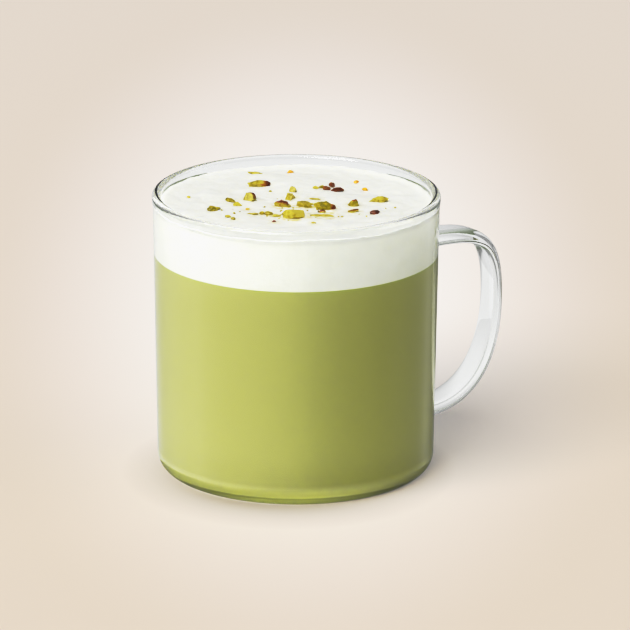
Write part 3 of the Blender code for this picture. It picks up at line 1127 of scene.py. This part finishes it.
@dataclass
class ChoppedNuts:
    """Chopped pistachios, sunk a little into the foam, and the fine crumbs round them."""

    drink: Drink
    sunk: float = 0.36
    fullness: float = 0.54
    trimmed: float = 1.1
    cut_slope: float = 0.9
    cut_depth: tuple[float, float] = (0.24, 0.4)
    cut_merge: float = 0.004
    cut_paler: float = 0.25
    roughness: float = 0.07
    coarse: float = 3.2
    fine: float = 8.0
    apart: Point = (7.3, 1.7, 0.0)
    skin_edge: float = 0.3
    crisp_above: float = 30.0
    stain_reach: float = 2.4 * MM
    stain_fade: float = 2.2 * MM
    stain_share: float = 0.85
    stain_centre: tuple[float, float] = (1.0, -9.0)
    stain_spread: float = 17.0
    stain_down: float = 2.0 * MM
    seed: int = 11
    seed_step: int = 1000
    dust_count: int = 46
    dust_centre: tuple[float, float] = (-1.0, -9.0)
    dust_spread: tuple[float, float] = (11.0, 6.5)
    dust_size: tuple[float, float] = (0.3, 0.8)
    dust_shape: tuple[float, float] = (0.8, 0.6)
    dust_greenest: float = 0.8

    def shape(self, number: int, nut: Nut, subdivisions: int, cuts: int) -> Object:
        """Model one piece: a kernel's rounded form, cut flat on some sides and a little uneven.

        Args:
            number: Seeds the cuts and the unevenness.
            nut: The piece's size and colours.
            subdivisions: How fine the rounded form is.
            cuts: How many knife cuts it has.

        Returns:
            The piece, still in its own frame and a unit long.
        """
        rule = random.Random(self.seed * self.seed_step + number)
        bpy.ops.object.select_all(action="DESELECT")
        bpy.ops.mesh.primitive_ico_sphere_add(subdivisions=subdivisions, radius=self.fullness,
                                              location=(0, 0, 0))
        piece = bpy.context.object
        bpy.ops.object.mode_set(mode="EDIT")
        for _ in range(cuts):
            heading = rule.uniform(0, math.tau)
            slope = rule.uniform(-self.cut_slope, self.cut_slope)
            normal = Vector((math.cos(heading), math.sin(heading), slope)).normalized()
            bpy.ops.mesh.select_all(action="SELECT")
            bpy.ops.mesh.bisect(plane_co=normal * rule.uniform(*self.cut_depth), plane_no=normal,
                                use_fill=True, clear_outer=True)
        close_up(self.cut_merge)
        shift = Vector([number * step for step in self.apart])
        for vert in piece.data.vertices:
            vert.co += noise.noise_vector(vert.co * self.coarse + shift) * self.roughness * 2
            vert.co += noise.noise_vector(vert.co * self.fine + shift) * self.roughness
        self.colour(piece, nut)
        return piece

    def colour(self, piece: Object, nut: Nut) -> None:
        """Store a piece's tone and its skin, which only its rounded outside has, on its corners.

        Args:
            piece: The piece.
            nut: Its tone and skin.
        """
        mesh = piece.data
        tone = mesh.attributes.new("tone", "FLOAT", "CORNER")
        skin = mesh.attributes.new("skin", "FLOAT", "CORNER")
        facing = Vector(nut.skin.value)
        for face in mesh.polygons:
            cut = len(face.vertices) > 4
            for loop in face.loop_indices:
                place = mesh.vertices[mesh.loops[loop].vertex_index].co
                cover = 0.0
                if nut.skin is Skin.ALL:
                    cover = nut.share
                elif nut.skin is not Skin.NONE:
                    along = place.normalized().dot(facing.normalized())
                    cover = smooth_step((along - 1 + 2 * nut.share) / self.skin_edge)
                tone.data[loop].value = nut.tone - (self.cut_paler if cut else 0.0)
                skin.data[loop].value = cover

    def lay(self, piece: Object, nut: Nut) -> None:
        """Give a piece its real size and its place on the foam, held in its mesh.

        Args:
            piece: The piece.
            nut: Its size, place and turn.
        """
        place = self.place(nut)
        place.z = self.drink.foam_height(place.x, place.y) + nut.height * MM * (0.5 - self.sunk)
        heading = Euler((0, 0, math.radians(nut.turn) + SERVED_TURN)).to_matrix().to_4x4()
        size = Vector((nut.length, nut.width, nut.height)) * MM * self.trimmed
        scale = Matrix.Diagonal((*size, 1))
        piece.data.transform(Matrix.Translation(place) @ heading @ scale)

    def place(self, nut: Nut) -> Vector:
        """Where a piece lies, seen from above."""
        return Matrix.Rotation(SERVED_TURN, 3, "Z") @ Vector((nut.across * MM, nut.away * MM, 0))

    def stain(self, foam: Object) -> None:
        """Store on the foam how much the nuts' oil has coloured it, most where the nuts lie thickest.

        Args:
            foam: The foam.
        """
        spots = []
        for nut in (*NUTS, *CRUMBS):
            off = math.dist((nut.across, nut.away), self.stain_centre) / self.stain_spread
            share = self.stain_share * math.exp(-off * off)
            spots.append((self.place(nut), nut.length * MM / 2 + self.stain_reach, share))
        layer = foam.data.attributes.new("stain", "FLOAT", "POINT")
        for vert in foam.data.vertices:
            if vert.co.z < self.drink.foam_level - self.stain_down:
                continue
            flat = Vector((vert.co.x, vert.co.y, 0))
            near = (share * smooth_step((reach - (flat - spot).length) / self.stain_fade)
                    for spot, reach, share in spots)
            layer.data[vert.index].value = max(near)

    def heap(self, name: str, nuts: Iterable[Nut], subdivisions: int, cuts: int, first: int) -> Object:
        """Shape, lay, join and smooth a kind of pieces.

        Args:
            name: The joined object's name.
            nuts: The pieces.
            subdivisions: How fine each is.
            cuts: How many knife cuts each has.
            first: Number of the first piece, which seeds its shape.

        Returns:
            The joined object.
        """
        made = []
        for number, nut in enumerate(nuts, first):
            piece = self.shape(number, nut, subdivisions, cuts)
            self.lay(piece, nut)
            made.append(piece)
        bpy.ops.object.select_all(action="DESELECT")
        for piece in made:
            piece.select_set(True)
        bpy.context.view_layer.objects.active = made[0]
        bpy.ops.object.join()
        joined = bpy.context.object
        joined.name = name
        shade(joined, self.crisp_above)
        return joined

    def dust(self) -> list[Nut]:
        """Crumbs under a millimetre, thickest where most nuts lie.

        Returns:
            The crumbs.
        """
        rule = random.Random(self.seed)
        made = []
        for _ in range(self.dust_count):
            across = rule.gauss(self.dust_centre[0], self.dust_spread[0])
            away = rule.gauss(self.dust_centre[1], self.dust_spread[1])
            length = rule.uniform(*self.dust_size)
            width, height = (length * share for share in self.dust_shape)
            turn = rule.uniform(0, 180)
            made.append(Nut(across, away, length, width, height, turn, rule.random() * self.dust_greenest))
        return made

    def build(self, finish: ChoppedPistachio, foam: Object) -> None:
        """Build and dress all the nuts, the same on every run.

        Args:
            finish: The nuts' finish.
            foam: The foam that they lie on and stain.
        """
        noise.seed_set(self.seed)
        material = finish.make()
        self.stain(foam)
        chopped = self.heap("chopped_pistachio", NUTS, subdivisions=3, cuts=4, first=0)
        hand_over(chopped, "pistachio_nut", material, "milk_foam")
        crumbs = self.heap("pistachio_crumbs", (*CRUMBS, *self.dust()), subdivisions=2, cuts=2,
                           first=len(NUTS))
        hand_over(crumbs, "pistachio_nut", material)


# ---------------------------------------------------------------- the studio


@dataclass(frozen=True)
class Softbox:
    """One square soft light facing the mug, with its place in degrees and metres and its power in watts."""

    name: str
    azimuth: float
    elevation: float
    distance: float
    side: float
    power: float
    colour: str


SOFTBOXES = (
    Softbox("key_softbox", -40.5, 54.5, 4.0, 2.4, 157, "fefdfc"),
    Softbox("fill_card", 85, 8, 1.2, 0.8, 4.3, "fffdf8"),
)


@dataclass
class Studio:
    """An opal table, a large soft light from the left, a low fill from the right and the camera.

    The table itself is hidden from the glass. A lit film, a dim tent and a ring of cards take its place
    there, each seen only through the glass or only as a sheen on it.
    """

    elevation: float = 17.3
    distance: float = 1.787
    aim_height: float = 42.5 * MM
    sensor: float = 36.0
    frame_pixels: int = 630
    focal_pixels: float = 6000.0
    mug_left: float = 19.03
    mug_below: float = 14.23
    roll: float = math.radians(0.185)
    nearest: float = 0.05
    farthest: float = 50.0
    floor_size: float = 6.0
    floor_drop: float = 0.05 * MM
    film_centre: tuple[float, float] = (0.0, 0.3)
    film_size: tuple[float, float] = (0.8, 1.3)
    film_drop: float = 0.4 * MM
    ring_steps: int = 96
    ring_radius: float = 0.8
    ring_low: float = -0.3
    ring_high: float = -0.11
    tent_radius: float = 2.2
    room_colour: str = "f8fbff"
    room_light: float = 0.2
    tone_curve: tuple[tuple[float, float], ...] = (
        (0.0, 0.0), (0.06, 0.037), (0.14, 0.097), (0.28, 0.231), (0.5, 0.57), (0.7, 0.763), (0.9, 0.907),
        (1.15, 1.0),
    )

    def toward(self, azimuth: float, elevation: float) -> Vector:
        """Direction from the mug.

        Args:
            azimuth: Degrees round from the serving side, to the right.
            elevation: Degrees above the table.

        Returns:
            The direction, with a length of 1.
        """
        angle = SERVED_TURN + math.radians(azimuth)
        rise = math.radians(elevation)
        return Vector((math.sin(angle) * math.cos(rise), -math.cos(angle) * math.cos(rise), math.sin(rise)))

    def camera(self) -> None:
        """A long lens at the serving side, a little above the lip."""
        back = self.toward(0, self.elevation)
        place = Vector((0, 0, self.aim_height)) + back * self.distance
        bpy.ops.object.camera_add(location=place)
        camera = bpy.context.object
        camera.name = "camera"
        camera.data.sensor_width = self.sensor
        camera.data.lens = self.focal_pixels / self.frame_pixels * self.sensor
        camera.data.clip_start = self.nearest
        camera.data.clip_end = self.farthest
        camera.rotation_mode = "QUATERNION"
        look = (-back).to_track_quat("-Z", "Y")
        pan = Quaternion((0, 1, 0), -math.atan(self.mug_left / self.focal_pixels))
        tilt = Quaternion((1, 0, 0), math.atan(self.mug_below / self.focal_pixels))
        camera.rotation_quaternion = look @ pan @ tilt @ Quaternion((0, 0, 1), self.roll)
        bpy.context.scene.camera = camera

    def light(self, box: Softbox) -> None:
        """Hang one soft light, unseen through the glass.

        Args:
            box: Its name, place, size and light.
        """
        away = self.toward(box.azimuth, box.elevation)
        bpy.ops.object.light_add(type="AREA", location=away * box.distance)
        light = bpy.context.object
        light.name = box.name
        light.data.size = box.side
        light.data.energy = box.power
        light.data.color = linear(box.colour)[:3]
        light.rotation_mode = "QUATERNION"
        light.rotation_quaternion = away.to_track_quat("Z", "Y")
        light.visible_transmission = False

    def world(self) -> None:
        """Dim, even light from all round."""
        world = bpy.data.worlds.new("studio_room")
        world.use_nodes = True
        tree = world.node_tree
        tree.nodes.clear()
        room = add_node(tree, "ShaderNodeBackground", Color=linear(self.room_colour),
                        Strength=self.room_light)
        add_node(tree, "ShaderNodeOutputWorld", Surface=room.outputs[0])
        bpy.context.scene.world = world

    def floor(self) -> None:
        """The table top that the mug stands on."""
        bpy.ops.mesh.primitive_plane_add(size=self.floor_size, location=(0, 0, -self.floor_drop))
        floor = bpy.context.object
        floor.name = "paper_floor"
        floor.data.materials.append(OpalTable().make())
        floor.visible_glossy = floor.visible_transmission = False

    def underlay(self) -> None:
        """A lit white sheet just under the table top, seen only through the clear glass."""
        bpy.ops.object.select_all(action="DESELECT")
        bpy.ops.mesh.primitive_plane_add(size=1, location=(0, 0, 0))
        sheet = bpy.context.object
        sheet.name = "white_underlay"
        place = Matrix.Translation((*self.film_centre, -self.film_drop))
        size = Matrix.Diagonal((*self.film_size, 1, 1))
        sheet.data.transform(Matrix.Rotation(SERVED_TURN, 4, "Z") @ place @ size)
        sheet.data.materials.append(LitFilm().make())
        sheet.visible_camera = sheet.visible_diffuse = sheet.visible_glossy = sheet.visible_shadow = False

    def tent(self) -> None:
        """A dim tent of white cloth over the table, seen only through the clear glass."""
        bpy.ops.object.select_all(action="DESELECT")
        bpy.ops.mesh.primitive_uv_sphere_add(segments=48, ring_count=24, radius=self.tent_radius,
                                             location=(0, 0, 0))
        tent = bpy.context.object
        tent.name = "light_tent"
        tent.data.materials.append(TentCloth().make(self.tent_radius))
        tent.visible_camera = tent.visible_diffuse = tent.visible_glossy = tent.visible_shadow = False

    def reflector(self) -> None:
        """A ring of cards below the table's edge, seen only as the soft sheens down the mug's sides."""
        bpy.ops.object.select_all(action="DESELECT")
        bpy.ops.mesh.primitive_circle_add(vertices=self.ring_steps, radius=self.ring_radius,
                                          location=(0, 0, 0))
        ring = bpy.context.object
        ring.name = "reflector_ring"
        bpy.ops.object.mode_set(mode="EDIT")
        bpy.ops.mesh.select_all(action="SELECT")
        bpy.ops.transform.translate(value=(0, 0, self.ring_low))
        rise = {"value": (0, 0, self.ring_high - self.ring_low)}
        bpy.ops.mesh.extrude_region_move(TRANSFORM_OT_translate=rise)
        bpy.ops.object.mode_set(mode="OBJECT")
        ring.data.materials.append(GradedCard().make())
        ring.visible_camera = ring.visible_diffuse = ring.visible_shadow = ring.visible_transmission = False

    def develop(self) -> None:
        """Develop the picture with a gentle contrast curve: deeper darks and a soft shoulder."""
        settings = bpy.context.scene.view_settings
        settings.view_transform = "Standard"
        settings.look = "None"
        settings.use_curve_mapping = True
        mapping = settings.curve_mapping
        mapping.use_clip = False
        mapping.extend = "HORIZONTAL"
        points = mapping.curves[3].points
        while len(points) < len(self.tone_curve):
            points.new(0.5, 0.5)
        for point, place in zip(points, self.tone_curve):
            point.location = place
        mapping.update()

    def build(self) -> None:
        """Set up the table, what the glass sees of it, the lights, the camera and the contrast."""
        self.floor()
        self.underlay()
        self.tent()
        self.reflector()
        self.world()
        for box in SOFTBOXES:
            self.light(box)
        self.camera()
        self.develop()


def main() -> None:
    """Build the studio, the mug, the drink and the nuts, in that order."""
    logging.basicConfig(level=logging.INFO, format="%(name)s: %(message)s")
    Studio().build()
    mug = GlassMug()
    mug.build(BorosilicateGlass())
    drink = Drink(mug)
    drink.build_latte(PistachioMilk())
    foam = drink.build_foam(SteamedFoam())
    ChoppedNuts(drink).build(ChoppedPistachio(), foam)


if __name__ == "__main__":
    main()
